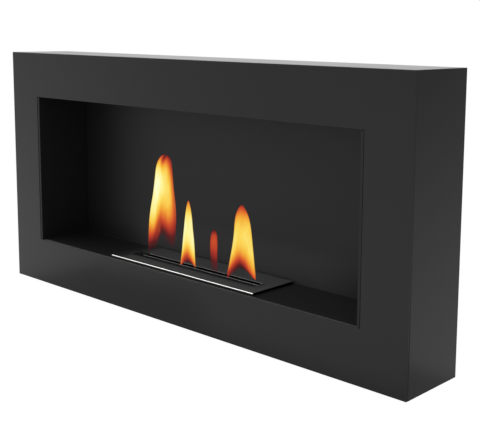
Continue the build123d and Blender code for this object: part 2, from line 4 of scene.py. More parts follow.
import bpy
import numpy as np
from mathutils import Matrix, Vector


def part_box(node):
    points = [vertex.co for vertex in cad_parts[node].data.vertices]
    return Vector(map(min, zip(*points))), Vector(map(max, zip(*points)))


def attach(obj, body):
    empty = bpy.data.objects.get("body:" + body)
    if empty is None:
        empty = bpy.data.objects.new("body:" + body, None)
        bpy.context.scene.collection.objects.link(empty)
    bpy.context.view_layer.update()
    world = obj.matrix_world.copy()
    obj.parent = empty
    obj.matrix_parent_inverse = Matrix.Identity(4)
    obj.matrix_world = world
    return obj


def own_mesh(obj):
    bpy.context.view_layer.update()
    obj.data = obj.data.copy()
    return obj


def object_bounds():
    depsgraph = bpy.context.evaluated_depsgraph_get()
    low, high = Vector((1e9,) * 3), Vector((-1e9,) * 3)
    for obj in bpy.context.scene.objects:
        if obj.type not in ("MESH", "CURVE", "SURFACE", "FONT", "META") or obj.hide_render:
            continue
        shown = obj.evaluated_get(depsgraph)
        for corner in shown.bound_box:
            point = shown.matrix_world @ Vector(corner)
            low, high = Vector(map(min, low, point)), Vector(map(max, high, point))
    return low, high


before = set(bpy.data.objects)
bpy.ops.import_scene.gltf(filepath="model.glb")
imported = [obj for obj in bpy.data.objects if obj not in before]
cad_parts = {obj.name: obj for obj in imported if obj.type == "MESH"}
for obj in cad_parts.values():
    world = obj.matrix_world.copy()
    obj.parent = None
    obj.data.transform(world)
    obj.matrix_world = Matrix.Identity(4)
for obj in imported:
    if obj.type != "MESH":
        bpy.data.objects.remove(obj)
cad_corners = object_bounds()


# ---- Camera ---------------------------------------------------------------------------------------
# It stands in front of the right end, a little above the housing's middle, and looks left along
# the front and slightly down, as the photographer did. The frame is shifted as the photograph is.
camera_place = (1.07917, -1.06704, 0.13140)
camera_turn = 0.7344  # to the left, in radians, as are the tilt and the roll
camera_tilt = 0.14202  # down from level
camera_roll = 0.0100
lens = bpy.data.cameras.new("camera")
lens.sensor_width = 36.0
lens.lens = 68.70
lens.shift_x = -0.08
lens.shift_y = -0.12
camera = bpy.data.objects.new("camera", lens)
camera.matrix_world = (
    Matrix.Translation(camera_place)
    @ Matrix.Rotation(camera_turn, 4, "Z")
    @ Matrix.Rotation(math.pi / 2 - camera_tilt, 4, "X")
    @ Matrix.Rotation(camera_roll, 4, "Z")
)
bpy.context.scene.collection.objects.link(camera)
bpy.context.scene.camera = camera


# ---- Studio ---------------------------------------------------------------------------------------
# A white room with a plain pale floor well below the housing, so that no shadow of it shows.
# The walls glow evenly, brighter to the left and overhead and dimmer behind, which shades the
# black sheets through what they mirror.
def add(tree, kind, inputs=(), **settings):
    """A node of that kind, with its settings, and each input set to a value or joined to a socket."""
    node = tree.nodes.new("ShaderNode" + kind)
    for name, value in settings.items():
        setattr(node, name, value)
    for name, value in dict(inputs).items():
        if isinstance(value, bpy.types.NodeSocket):
            tree.links.new(value, node.inputs[name])
        else:
            node.inputs[name].default_value = value
    return node


def white_to_camera(tree, lit, white):
    """A shader that the camera sees as white, and that lights and is mirrored as lit."""
    straight = add(tree, "LightPath").outputs["Is Camera Ray"]
    both = add(tree, "MixShader", {0: straight, 1: lit.outputs[0], 2: white.outputs[0]})
    return both.outputs[0]


studio_base = 0.515
studio_zones = (
    # direction (x, y, z), sharpness, strength
    ((-0.86, -0.45, -0.24), 70.0, 0.29),
    ((-0.54, -0.80, -0.24), 45.0, 0.11),
    ((0.53, 0.85, 0.10), 15.0, -0.30),
    ((0.53, 0.82, -0.38), 25.0, 0.11),
    ((-0.68, 0.73, 0.05), 12.0, 0.16),
    ((-0.67, -0.13, 0.72), 17.0, 2.40),
)
world = bpy.data.worlds.new("studio")
world.use_nodes = True
bpy.context.scene.world = world
room = world.node_tree
room.nodes.clear()
way = add(room, "TexCoord").outputs["Generated"]
glow = studio_base
for direction, sharpness, strength in studio_zones:
    length = math.dist((0, 0, 0), direction)
    unit = tuple(a / length for a in direction)
    facing = add(room, "VectorMath", {0: way, 1: unit}, operation="DOT_PRODUCT").outputs["Value"]
    front = add(room, "Math", {0: facing, 1: 0.0}, operation="MAXIMUM").outputs[0]
    zone = add(room, "Math", {0: front, 1: sharpness}, operation="POWER").outputs[0]
    glow = add(room, "Math", {0: zone, 1: strength, 2: glow}, operation="MULTIPLY_ADD").outputs[0]
wall = add(room, "Background", {"Color": (1.0, 1.0, 1.0, 1.0), "Strength": glow})
seen = add(room, "Background", {"Color": (1.0, 1.0, 1.0, 1.0), "Strength": 1.0})
add(room, "OutputWorld", {"Surface": white_to_camera(room, wall, seen)})
bpy.context.scene.view_settings.view_transform = "Standard"

floor_level = -1.5
floor_albedo = 0.47
floor_corners = ((-4.0, -2.9), (-3.0, -2.9), (-2.4, -2.50), (4.0, -2.50), (4.0, 2.55), (-4.0, 2.55))
mesh = bpy.data.meshes.new("studio_floor")
mesh.from_pydata([(x, y, floor_level) for x, y in floor_corners], [], [tuple(range(len(floor_corners)))])
floor = bpy.data.objects.new("studio_floor", mesh)
bpy.context.scene.collection.objects.link(floor)
pale = bpy.data.materials.new("pale_floor")
pale.use_nodes = True
tree = pale.node_tree
tree.nodes.clear()
matt = add(tree, "BsdfDiffuse", {"Color": (floor_albedo, floor_albedo, floor_albedo, 1.0)})
white = add(tree, "Emission", {"Color": (1.0, 1.0, 1.0, 1.0), "Strength": 1.0})
add(tree, "OutputMaterial", {"Surface": white_to_camera(tree, matt, white)})
mesh.materials.append(pale)


# ---- Housing --------------------------------------------------------------------------------------
# The front frame and the folded panels are sheet steel with a black stoved coating. It has levelled
# out to a faint orange peel, is duller in soft patches where cloths pass over it, and is thinner,
# so a little lighter, along the folded edges.
(_, housing_front, housing_bottom), (housing_half, _, housing_top) = cad_corners
worn_edge = 0.0016  # from a folded edge to where its wear ends
wear_roughens = 0.12
mottle_lifts = 0.12  # against the peel's height of one


def group(name, inputs, outputs):
    """A new node group, with {name: (kind, default)} for inputs and outputs. Gives its tree and both ends."""
    tree = bpy.data.node_groups.new(name, "ShaderNodeTree")
    for side, sockets in (("INPUT", inputs), ("OUTPUT", outputs)):
        for label, (kind, default) in sockets.items():
            socket = tree.interface.new_socket(label, in_out=side, socket_type="NodeSocket" + kind)
            socket.default_value = default
    return tree, tree.nodes.new("NodeGroupInput").outputs, tree.nodes.new("NodeGroupOutput").inputs


def finish(slot, effect_tree, look, constants, relief=0.0):
    """The material of a record's slot: a Principled shader fed by one node group.

    The group's outputs feed the shader's sockets of the same names, and its Height feeds a bump of
    the relief given in metres. The constants are set on the shader itself.
    """
    material = bpy.data.materials.new(slot)
    material.use_nodes = True
    tree = material.node_tree
    shader = tree.nodes["Principled BSDF"]
    for socket, value in constants.items():
        shader.inputs[socket].default_value = value
    effect = tree.nodes.new("ShaderNodeGroup")
    effect.node_tree = effect_tree
    for socket, value in look.items():
        effect.inputs[socket].default_value = value
    for outlet in effect.outputs:
        if outlet.name == "Height":
            bump = add(tree, "Bump", {"Height": outlet, "Strength": 1.0, "Distance": relief})
            tree.links.new(bump.outputs["Normal"], shader.inputs["Normal"])
        else:
            tree.links.new(outlet, shader.inputs[outlet.name])
    return material


def dress(material, *nodes):
    """Puts the material on every slot of the CAD nodes."""
    for node in nodes:
        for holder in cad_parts[node].material_slots:
            holder.material = material


def math_node(tree, operation, *values, clamp=False):
    """The output of a Math node over the values or sockets given."""
    return add(tree, "Math", dict(enumerate(values)), operation=operation, use_clamp=clamp).outputs[0]


def product(tree, first, *others):
    """The product of the values or sockets given."""
    for other in others:
        first = math_node(tree, "MULTIPLY", first, other)
    return first


def spread(tree, value, low, high, to_low=0.0, to_high=1.0, kind="LINEAR"):
    """A value mapped from the span low to high onto to_low to to_high."""
    inputs = {"Value": value, "From Min": low, "From Max": high, "To Min": to_low, "To Max": to_high}
    return add(tree, "MapRange", inputs, interpolation_type=kind).outputs["Result"]


def tinted(tree, colour, other, share):
    """A colour mixed towards another by the share."""
    node = tree.nodes.new("ShaderNodeMix")
    node.data_type = "RGBA"
    for socket, value in ((node.inputs[0], share), (node.inputs[6], colour), (node.inputs[7], other)):
        if isinstance(value, bpy.types.NodeSocket):
            tree.links.new(value, socket)
        else:
            socket.default_value = value
    return node.outputs[2]


def grain(tree, scale, detail, stretch=(1.0, 1.0, 1.0), roughness=0.5):
    """Noise on Object coordinates, scale to the metre, stretched along an axis where that is below one."""
    place = add(tree, "TexCoord").outputs["Object"]
    if stretch != (1.0, 1.0, 1.0):
        place = add(tree, "Mapping", {"Vector": place, "Scale": stretch}).outputs[0]
    inputs = {"Vector": place, "Scale": scale, "Detail": detail, "Roughness": roughness}
    return add(tree, "TexNoise", inputs).outputs["Fac"]


# Coated sheet: orange peel, soft dull patches, a fine mottle in the colour, and worn folded edges.
coated, ins, outs = group(
    "coated_sheet",
    {
        "Colour": ("Color", (0.01, 0.01, 0.01, 1.0)),
        "Worn Colour": ("Color", (0.03, 0.03, 0.03, 1.0)),
        "Gloss Roughness": ("Float", 0.12),
        "Smudge": ("Float", 0.03),
        "Peel Scale": ("Float", 650.0),
        "Wear": ("Float", 0.5),
    },
    {
        "Base Color": ("Color", (0.0, 0.0, 0.0, 1.0)),
        "Roughness": ("Float", 0.1),
        "Height": ("Float", 0.0),
    },
)
smudge = grain(coated, scale=7.0, detail=4.0, roughness=0.6)
mottle = grain(coated, scale=2400.0, detail=2.0)
where = add(coated, "TexCoord").outputs["Object"]
axes = add(coated, "SeparateXYZ", {0: where}).outputs
from_end = math_node(coated, "SUBTRACT", housing_half, math_node(coated, "ABSOLUTE", axes[0]))
from_top = math_node(coated, "SUBTRACT", housing_top, axes[2])
from_bottom = math_node(coated, "SUBTRACT", axes[2], housing_bottom)
from_level = math_node(coated, "MINIMUM", from_top, from_bottom)
from_front = math_node(coated, "SUBTRACT", axes[1], housing_front)
nearer = math_node(coated, "MINIMUM", from_end, from_level)
farther = math_node(coated, "MAXIMUM", from_end, from_level)
from_edge = math_node(coated, "MAXIMUM", nearer, math_node(coated, "MINIMUM", farther, from_front))
edge = spread(coated, from_edge, 0.0, worn_edge, 1.0, 0.0)
patchy = spread(coated, grain(coated, scale=60.0, detail=5.0, roughness=0.7), 0.38, 0.62)
wear = product(coated, edge, patchy, ins["Wear"])
mottled = tinted(coated, ins["Colour"], ins["Worn Colour"], spread(coated, mottle, 0.35, 0.75, 0.0, 0.18))
coated.links.new(tinted(coated, mottled, ins["Worn Colour"], wear), outs["Base Color"])
smudged = spread(coated, smudge, 0.35, 0.7, -0.5, 0.5)
dull = math_node(coated, "MULTIPLY_ADD", smudged, ins["Smudge"], ins["Gloss Roughness"])
coated.links.new(math_node(coated, "MULTIPLY_ADD", wear, wear_roughens, dull), outs["Roughness"])
peel_inputs = {"Vector": where, "Scale": ins["Peel Scale"], "Detail": 1.5}
peel = add(coated, "TexNoise", peel_inputs).outputs["Fac"]
coated.links.new(math_node(coated, "MULTIPLY_ADD", mottle, mottle_lifts, peel), outs["Height"])

housing_black = finish(
    "housing_black",
    coated,
    {"Colour": (0.0085, 0.0085, 0.0088, 1.0), "Worn Colour": (0.022, 0.022, 0.023, 1.0),
     "Gloss Roughness": 0.12, "Smudge": 0.03, "Peel Scale": 420.0, "Wear": 0.45},
    {"Specular IOR Level": 0.5},
    relief=0.000004,
)
dress(housing_black, "front_frame", "side_panel_left", "side_panel_right", "top_panel", "bottom_panel")


# ---- Rear cover -----------------------------------------------------------------------------------
# Flat sheet with a plain matt black coating, pressed against the flanges by its screws. It hangs
# close to the wall, so dust has settled on it unevenly.
rear_sheet = finish(
    "rear_sheet",
    coated,
    {"Colour": (0.020, 0.020, 0.021, 1.0), "Worn Colour": (0.07, 0.069, 0.067, 1.0),
     "Gloss Roughness": 0.42, "Smudge": 0.12, "Peel Scale": 900.0, "Wear": 0.6},
    {"Specular IOR Level": 0.5},
    relief=0.00003,
)
dress(rear_sheet, "rear_cover")


# ---- Wall rail ------------------------------------------------------------------------------------
# A folded steel strip, zinc plated and passivated black, screwed to the wall. The plating is a
# little oily, so it is duller in soft patches, and finely mottled.
rail_steel = finish(
    "rail_steel",
    coated,
    {"Colour": (0.030, 0.030, 0.032, 1.0), "Worn Colour": (0.10, 0.10, 0.098, 1.0),
     "Gloss Roughness": 0.33, "Smudge": 0.10, "Peel Scale": 1500.0, "Wear": 0.4},
    {"Specular IOR Level": 0.6},
    relief=0.00002,
)
dress(rail_steel, "wall_rail")


# ---- Plated fittings ------------------------------------------------------------------------------
# Angles, hangers, rivets and screws are zinc-plated steel: grey, with the cloudy flakes of the
# plating, dull streaks, and a fine tooth that scatters the light.
flake_greys, flake_lifts = 0.35, 0.5
plated, ins, outs = group(
    "zinc_plating",
    {"Colour": ("Color", (0.4, 0.4, 0.41, 1.0)), "Dull Colour": ("Color", (0.25, 0.25, 0.25, 1.0))},
    {
        "Base Color": ("Color", (0.0, 0.0, 0.0, 1.0)),
        "Metallic": ("Float", 1.0),
        "Roughness": ("Float", 0.4),
        "Height": ("Float", 0.0),
    },
)
where = add(plated, "TexCoord").outputs["Object"]
flakes = add(plated, "TexVoronoi", {"Vector": where, "Scale": 260.0}, feature="SMOOTH_F1").outputs["Color"]
flake = add(plated, "SeparateColor", {0: flakes}).outputs[0]
cloud = grain(plated, scale=26.0, detail=5.0, roughness=0.65)
tooth = grain(plated, scale=3000.0, detail=2.0)
dulled = spread(plated, cloud, 0.3, 0.7, 0.0, 0.65)
shade = math_node(plated, "MULTIPLY_ADD", flake, flake_greys, dulled)
plated.links.new(tinted(plated, ins["Colour"], ins["Dull Colour"], shade), outs["Base Color"])
plated.links.new(spread(plated, cloud, 0.3, 0.7, 0.32, 0.55), outs["Roughness"])
plated.links.new(spread(plated, cloud, 0.3, 0.75, 1.0, 0.82), outs["Metallic"])
plated.links.new(math_node(plated, "MULTIPLY_ADD", flake, flake_lifts, tooth), outs["Height"])
zinc_steel = finish(
    "zinc_steel",
    plated,
    {"Colour": (0.50, 0.50, 0.51, 1.0), "Dull Colour": (0.30, 0.30, 0.30, 1.0)},
    {},
    relief=0.00002,
)
dress(
    zinc_steel,
    "cover_angle_left", "cover_angle_right", "cover_angle_top", "cover_angle_bottom", "cover_screws",
    "hanger_left", "hanger_right", "hanger_rivets", "firebox_angle_left", "firebox_angle_right",
    "floor_support_left", "floor_support_right",
)


# ---- Wall buffers ---------------------------------------------------------------------------------
# Moulded rubber feet, pushed into the rear cover, with a matt skin and a bloom of paler dust.
rubber, ins, outs = group(
    "moulded_rubber",
    {"Colour": ("Color", (0.02, 0.02, 0.02, 1.0)), "Bloom Colour": ("Color", (0.06, 0.06, 0.058, 1.0))},
    {
        "Base Color": ("Color", (0.0, 0.0, 0.0, 1.0)),
        "Roughness": ("Float", 0.7),
        "Height": ("Float", 0.0),
    },
)
bloom = grain(rubber, scale=120.0, detail=5.0, roughness=0.7)
pores = grain(rubber, scale=2600.0, detail=3.0)
bloomed = tinted(rubber, ins["Colour"], ins["Bloom Colour"], spread(rubber, bloom, 0.4, 0.7))
rubber.links.new(bloomed, outs["Base Color"])
rubber.links.new(spread(rubber, bloom, 0.3, 0.7, 0.62, 0.82), outs["Roughness"])
rubber.links.new(pores, outs["Height"])
rubber_black = finish(
    "rubber_black",
    rubber,
    {"Colour": (0.018, 0.018, 0.018, 1.0), "Bloom Colour": (0.05, 0.05, 0.048, 1.0)},
    {},
    relief=0.00005,
)
dress(rubber_black, "wall_buffers")


# ---- Firebox --------------------------------------------------------------------------------------
# The folded sheets round the flames have a matt heat-resistant coating with a coarser tooth than the
# housing's. Low on the back wall, behind the burner, it is painted lighter in clouds as painted light
# from the burner. A little dust lies on the floor, and a painted highlight runs along the seam at its rear
# edge.
glow_heights = (-0.250, -0.190)  # heights between which the painted light thins out
glow_left_ends = (-0.260, -0.150)  # and places along the wall, at their two ends
glow_right_ends = (0.200, 0.330)
wall_reach = (-0.0175, -0.0165)  # depths between which the back wall begins
seam_highlight_reach = (-0.0195, -0.0175)  # and between which the painted highlight along the seam does
clouds_roughen = 0.06
fired, ins, outs = group(
    "fired_coating",
    {
        "Colour": ("Color", (0.01, 0.01, 0.01, 1.0)),
        "Light And Dust Colour": ("Color", (0.06, 0.06, 0.06, 1.0)),
        "Dust": ("Float", 0.3),
        "Gloss Roughness": ("Float", 0.45),
    },
    {
        "Base Color": ("Color", (0.0, 0.0, 0.0, 1.0)),
        "Roughness": ("Float", 0.5),
        "Height": ("Float", 0.0),
    },
)
tooth = grain(fired, scale=1100.0, detail=3.0)
clouds = grain(fired, scale=11.0, detail=4.0, roughness=0.6)
place = add(fired, "TexCoord").outputs["Object"]
axes = add(fired, "SeparateXYZ", {0: place}).outputs
upward = add(fired, "SeparateXYZ", {0: add(fired, "NewGeometry").outputs["Normal"]}).outputs[2]
flat = spread(fired, upward, 0.5, 0.9)
low = spread(fired, axes[2], *glow_heights, 1.0, 0.0, "SMOOTHSTEP")
near_left = spread(fired, axes[0], *glow_left_ends, 0.0, 1.0, "SMOOTHSTEP")
near_right = spread(fired, axes[0], *glow_right_ends, 1.0, 0.0, "SMOOTHSTEP")
# Painted light: lighter low on the back wall, behind the burner.
painted_glow = product(fired, near_left, near_right, low, spread(fired, axes[1], *wall_reach))
dusted = math_node(fired, "MULTIPLY", flat, ins["Dust"])
# Painted highlight along the seam between the floor and the back wall, in the same lighter colour as the
# dust.
seam_highlight = math_node(fired, "MULTIPLY", flat, spread(fired, axes[1], *seam_highlight_reach))
light_and_dust = math_node(fired, "MAXIMUM", painted_glow, math_node(fired, "MAXIMUM", dusted, seam_highlight))
cloudy = math_node(fired, "MULTIPLY", light_and_dust, spread(fired, clouds, 0.3, 0.7, 0.8, 1.1))
speckled = math_node(fired, "ADD", spread(fired, tooth, 0.4, 0.75, 0.0, 0.10), cloudy)
fired.links.new(tinted(fired, ins["Colour"], ins["Light And Dust Colour"], speckled), outs["Base Color"])
matt_share = math_node(fired, "MULTIPLY_ADD", clouds, clouds_roughen, ins["Gloss Roughness"])
fired.links.new(matt_share, outs["Roughness"])
fired.links.new(tooth, outs["Height"])
firebox_black = finish(
    "firebox_black",
    fired,
    {"Colour": (0.0092, 0.0092, 0.0094, 1.0), "Light And Dust Colour": (0.055, 0.055, 0.055, 1.0), "Dust": 0.10,
     "Gloss Roughness": 0.42},
    {"Specular IOR Level": 0.5},
    relief=0.000012,
)
dress(
    firebox_black,
    "firebox_back_wall", "firebox_side_left", "firebox_side_right", "firebox_ceiling", "firebox_floor",
)


# ---- Insulation and absorbent pad -----------------------------------------------------------------
# White ceramic fibre: needled sheets behind the firebox and a thick pad in the tank that soaks up
# the fuel. It is fluffy, with fine hairs and a few yellowish marks, and painted shade darkens its hollows.
hollow_painted_shade = (0.40, 0.38, 0.34, 1.0)
hairs_lift = 0.5
fibre, ins, outs = group(
    "ceramic_fibre",
    {"Colour": ("Color", (0.8, 0.79, 0.76, 1.0)), "Stain Colour": ("Color", (0.55, 0.48, 0.36, 1.0))},
    {
        "Base Color": ("Color", (0.0, 0.0, 0.0, 1.0)),
        "Roughness": ("Float", 0.9),
        "Height": ("Float", 0.0),
    },
)
tufts = grain(fibre, scale=420.0, detail=6.0, roughness=0.75)
hairs = grain(fibre, scale=1300.0, detail=3.0, stretch=(0.2, 1.0, 1.0))
stain = spread(fibre, grain(fibre, scale=14.0, detail=4.0, roughness=0.6), 0.55, 0.8, 0.0, 0.4)
fluff = math_node(fibre, "MULTIPLY_ADD", hairs, hairs_lift, tufts)
# Painted shade: darker where the fluff is low.
shaded_hollows = spread(fibre, fluff, 0.45, 0.85, 0.25, 0.0)
stained = tinted(fibre, ins["Colour"], ins["Stain Colour"], stain)
fibre.links.new(tinted(fibre, stained, hollow_painted_shade, shaded_hollows), outs["Base Color"])
fibre.links.new(spread(fibre, tufts, 0.3, 0.7, 0.98, 0.85), outs["Roughness"])
fibre.links.new(fluff, outs["Height"])
ceramic_fibre = finish(
    "ceramic_fibre",
    fibre,
    {"Colour": (0.80, 0.79, 0.76, 1.0), "Stain Colour": (0.60, 0.52, 0.40, 1.0)},
    {"Specular IOR Level": 0.2},
    relief=0.0007,
)
dress(ceramic_fibre, "ceiling_insulation", "rear_insulation", "absorbent_pad")


# ---- Burner steel ---------------------------------------------------------------------------------
# Tank, top plate, retainer, guides, collar and damper are stainless sheet, ground along the burner.
# Round the slot the flames have tinted it faintly brown and left a thin film of soot, and what lies
# below the collar's rim there is painted black as shade down in the slot.
collar_low, collar_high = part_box("slot_collar")
slot_middle = (collar_low.y + collar_high.y) / 2.0
rim_level = collar_high.z
heat_reach = (0.004, 0.024)  # from the slot's middle line: full up to the first, none past the second
slot_shade_levels = (rim_level - 0.0003, rim_level - 0.0009)
scratch_grey = (0.30, 0.30, 0.30, 1.0)
slot_shade_black = (0.003, 0.003, 0.003, 1.0)
film_roughens = 0.3
ground, ins, outs = group(
    "ground_steel",
    {
        "Colour": ("Color", (0.5, 0.5, 0.5, 1.0)),
        "Heat Colour": ("Color", (0.2, 0.1, 0.05, 1.0)),
        "Soot And Shade Colour": ("Color", (0.02, 0.02, 0.02, 1.0)),
        "Heat": ("Float", 0.0),
        "Soot": ("Float", 0.0),
        "Gloss Roughness": ("Float", 0.3),
    },
    {
        "Base Color": ("Color", (0.0, 0.0, 0.0, 1.0)),
        "Metallic": ("Float", 1.0),
        "Roughness": ("Float", 0.3),
        "Height": ("Float", 0.0),
    },
)
scratches = grain(ground, scale=1500.0, detail=4.0, stretch=(0.012, 1.0, 1.0), roughness=0.6)
broad = grain(ground, scale=30.0, detail=4.0, roughness=0.6)
axes = add(ground, "SeparateXYZ", {0: add(ground, "TexCoord").outputs["Object"]}).outputs
from_slot = math_node(ground, "ABSOLUTE", math_node(ground, "SUBTRACT", axes[1], slot_middle))
near_slot = spread(ground, from_slot, *heat_reach, 1.0, 0.0, "SMOOTHSTEP")
uneven = spread(ground, broad, 0.3, 0.7, 0.5, 1.0)
heat_share = product(ground, near_slot, uneven, ins["Heat"])
# Painted shade: below the collar's rim, near the slot, the steel is painted black and kept from mirroring.
sunk = spread(ground, axes[2], *slot_shade_levels)
soot_and_shade = math_node(ground, "MULTIPLY", near_slot, math_node(ground, "MAXIMUM", sunk, ins["Soot"]))
soot_and_shade_share = math_node(ground, "MULTIPLY", soot_and_shade, math_node(ground, "MAXIMUM", sunk, uneven))
streaked = tinted(ground, ins["Colour"], scratch_grey, spread(ground, scratches, 0.4, 0.75, 0.0, 0.35))
heated = tinted(ground, streaked, ins["Heat Colour"], heat_share)
sooted_and_shaded_steel = tinted(ground, heated, ins["Soot And Shade Colour"], soot_and_shade_share)
slot_shade = math_node(ground, "MULTIPLY", near_slot, sunk)
ground.links.new(tinted(ground, sooted_and_shaded_steel, slot_shade_black, slot_shade), outs["Base Color"])
bare = math_node(ground, "SUBTRACT", 1.0, soot_and_shade_share, clamp=True)
ground.links.new(math_node(ground, "MAXIMUM", bare, slot_shade), outs["Metallic"])
satin = math_node(ground, "ADD", spread(ground, scratches, 0.3, 0.7, -0.1, 0.1), ins["Gloss Roughness"])
ground.links.new(math_node(ground, "MULTIPLY_ADD", soot_and_shade_share, film_roughens, satin), outs["Roughness"])
ground.links.new(scratches, outs["Height"])
stainless = finish(
    "stainless",
    ground,
    {"Colour": (0.52, 0.52, 0.52, 1.0), "Heat Colour": (0.24, 0.19, 0.15, 1.0), "Heat": 0.3, "Soot": 0.12,
     "Gloss Roughness": 0.34},
    {},
    relief=0.00001,
)
dress(
    stainless,
    "burner_tank", "tank_end_left", "tank_end_right", "tank_top_plate", "pad_retainer", "slot_collar",
    "damper_guide_left", "damper_guide_right", "damper_plate",
)


# ---- Cover plate ----------------------------------------------------------------------------------
# A shallow tray with a matt heat-resistant coating, laid over the tank. It is darker and duller in a
# soft band along the slot, mostly in front of it, where the flames lick over the rim. Painted shade
# darkens it at the knob's end, in a strip behind the trim's left half and on the tray's edges, and the
# coating has gone grey elsewhere.
dark_band_front = (0.0215, 0.0100)  # before the slot's middle line: none at the first, full at the second
dark_band_back = (-0.0080, -0.0055)
dark_band_left = (-0.150, -0.128)  # and along it, at the band's two ends
dark_band_right = (0.156, 0.136)
knob_shade_reach = (-0.158, -0.128)  # the painted shade at the knob's end is full up to the first, and gone past the second
shade_behind_trim_reach = (-0.1075, -0.1095)  # depths between which the strip of painted shade behind the trim begins
trim_half = (0.0, 0.08)  # and places between which it ends
aged_grey = (0.16, 0.158, 0.155, 1.0)
band_roughens = 0.45
band_unshines = 0.93  # by mirroring only as much as a metal of its dark colour
shade_coated, ins, outs = group(
    "coating_with_painted_shade",
    {
        "Colour": ("Color", (0.03, 0.03, 0.03, 1.0)),
        "Soot And Shade Colour": ("Color", (0.004, 0.004, 0.004, 1.0)),
        "Gloss Roughness": ("Float", 0.4),
    },
    {
        "Base Color": ("Color", (0.0, 0.0, 0.0, 1.0)),
        "Metallic": ("Float", 0.0),
        "Roughness": ("Float", 0.4),
        "Height": ("Float", 0.0),
    },
)
speckle = grain(shade_coated, scale=1600.0, detail=3.0)
drift = grain(shade_coated, scale=45.0, detail=5.0, roughness=0.65)
axes = add(shade_coated, "SeparateXYZ", {0: add(shade_coated, "TexCoord").outputs["Object"]}).outputs
front_of_slot = math_node(shade_coated, "SUBTRACT", slot_middle, axes[1])
# Darker and duller in a soft band along the slot, mostly in front of it.
dark_band = product(
    shade_coated,
    spread(shade_coated, front_of_slot, *dark_band_front, 0.0, 1.0, "SMOOTHSTEP"),
    spread(shade_coated, front_of_slot, *dark_band_back, 0.0, 1.0, "SMOOTHSTEP"),
    spread(shade_coated, axes[0], *dark_band_left, 0.0, 1.0, "SMOOTHSTEP"),
    spread(shade_coated, axes[0], *dark_band_right, 0.0, 1.0, "SMOOTHSTEP"),
    spread(shade_coated, drift, 0.3, 0.65, 0.75, 1.0),
)
aged = tinted(shade_coated, ins["Colour"], aged_grey, spread(shade_coated, drift, 0.35, 0.75, 0.0, 0.35))
# Painted shade at the knob's end and in a strip behind the trim's left half.
knob_shade = spread(shade_coated, axes[0], *knob_shade_reach, 0.75, 0.0, "SMOOTHSTEP")
behind_trim = spread(shade_coated, axes[1], *shade_behind_trim_reach)
shade_behind_trim = math_node(shade_coated, "MULTIPLY", behind_trim, spread(shade_coated, axes[0], *trim_half, 0.6, 0.0))
shaded_spots = tinted(shade_coated, aged, ins["Soot And Shade Colour"], math_node(shade_coated, "MAXIMUM", knob_shade, shade_behind_trim))
upward = add(shade_coated, "SeparateXYZ", {0: add(shade_coated, "NewGeometry").outputs["Normal"]}).outputs[2]
# Painted shade: faces that don't face up are painted black and kept from mirroring.
side_shade = spread(shade_coated, upward, 0.3, 0.6, 1.0, 0.0)
band_and_side_shade = math_node(shade_coated, "MAXIMUM", dark_band, side_shade)
shade_coated.links.new(tinted(shade_coated, shaded_spots, ins["Soot And Shade Colour"], band_and_side_shade), outs["Base Color"])
lustreless = math_node(shade_coated, "MULTIPLY", dark_band, band_unshines)
shade_coated.links.new(math_node(shade_coated, "MAXIMUM", side_shade, lustreless), outs["Metallic"])
roughened = math_node(shade_coated, "MULTIPLY_ADD", dark_band, band_roughens, ins["Gloss Roughness"])
shade_coated.links.new(roughened, outs["Roughness"])
shade_coated.links.new(speckle, outs["Height"])
burner_black = finish(
    "burner_black",
    shade_coated,
    {"Colour": (0.105, 0.105, 0.105, 1.0), "Soot And Shade Colour": (0.003, 0.003, 0.003, 1.0),
     "Gloss Roughness": 0.42},
    {"Specular IOR Level": 0.4},
    relief=0.00003,
)
dress(burner_black, "burner_cover_plate")


# ---- Front trim -----------------------------------------------------------------------------------
# Bright stainless strip along the cover plate's front edge, rounded off to the front, drawn and
# polished, with fine lines along it. Its upper edge and its foot are painted dark as shade, leaving a narrow
# bright line.
trim_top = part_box("burner_front_trim")[1].z
top_shade_levels = (trim_top - 0.0003, trim_top - 0.0001)
foot_shade_levels = (trim_top - 0.0010, trim_top - 0.0017)
trim_shade_colour = (0.02, 0.02, 0.02, 1.0)
line_grey = (0.55, 0.54, 0.53, 1.0)
polished, ins, outs = group(
    "polished_steel",
    {"Colour": ("Color", (0.8, 0.8, 0.81, 1.0)), "Gloss Roughness": ("Float", 0.25)},
    {
        "Base Color": ("Color", (0.0, 0.0, 0.0, 1.0)),
        "Roughness": ("Float", 0.3),
        "Height": ("Float", 0.0),
    },
)
lines = grain(polished, scale=2500.0, detail=3.0, stretch=(0.008, 1.0, 1.0), roughness=0.6)
handled = grain(polished, scale=60.0, detail=4.0, roughness=0.6)
level = add(polished, "SeparateXYZ", {0: add(polished, "TexCoord").outputs["Object"]}).outputs[2]
drawn = tinted(polished, ins["Colour"], line_grey, spread(polished, lines, 0.4, 0.8, 0.0, 0.3))
# Painted shade on the strip's top and round its foot.
top_shade = spread(polished, level, *top_shade_levels, 0.0, 0.7)
foot_shade = spread(polished, level, *foot_shade_levels, 0.0, 0.96)
strip_shade = math_node(polished, "MAXIMUM", top_shade, foot_shade)
polished.links.new(tinted(polished, drawn, trim_shade_colour, strip_shade), outs["Base Color"])
hazy = spread(polished, handled, 0.3, 0.7, -0.04, 0.04)
polished.links.new(math_node(polished, "ADD", hazy, ins["Gloss Roughness"]), outs["Roughness"])
polished.links.new(lines, outs["Height"])
stainless_bright = finish(
    "stainless_bright",
    polished,
    {"Colour": (0.91, 0.91, 0.89, 1.0), "Gloss Roughness": 0.30},
    {"Metallic": 1.0},
    relief=0.000006,
)
dress(stainless_bright, "burner_front_trim")


